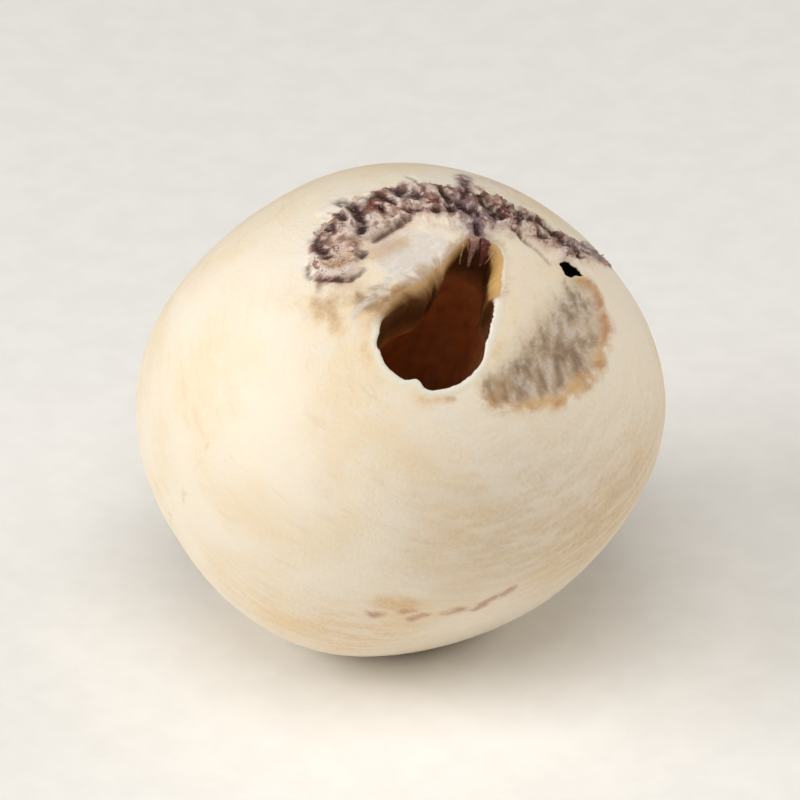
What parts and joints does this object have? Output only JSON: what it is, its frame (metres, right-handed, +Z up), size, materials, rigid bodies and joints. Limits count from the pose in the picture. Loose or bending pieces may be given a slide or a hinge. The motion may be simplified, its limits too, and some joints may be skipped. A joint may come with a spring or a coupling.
{
  "type": "lotus seed",
  "caption": "Dried peeled lotus seed: a plump ivory kernel drilled through from beak to base, with a torn collar of dark skin round its split mouth.",
  "frame": {"origin": "centre of the bounding box's underside, in the plane of the flat spot that the seed rests on", "axes": "+Z up, away from the resting flat; -Y is the side that the drilled beak end faces, with the beak tipped about 37 degrees forwards from +Z and a little towards +X"},
  "size_m": [0.0132, 0.013, 0.0136],
  "materials": {
    "seed_flesh": "dry, matte to faintly waxy ivory flesh with remains of torn purple-brown skin"
  },
  "bodies": {
    "root": {"seed": "seed_flesh"}
  },
  "joints": []
}
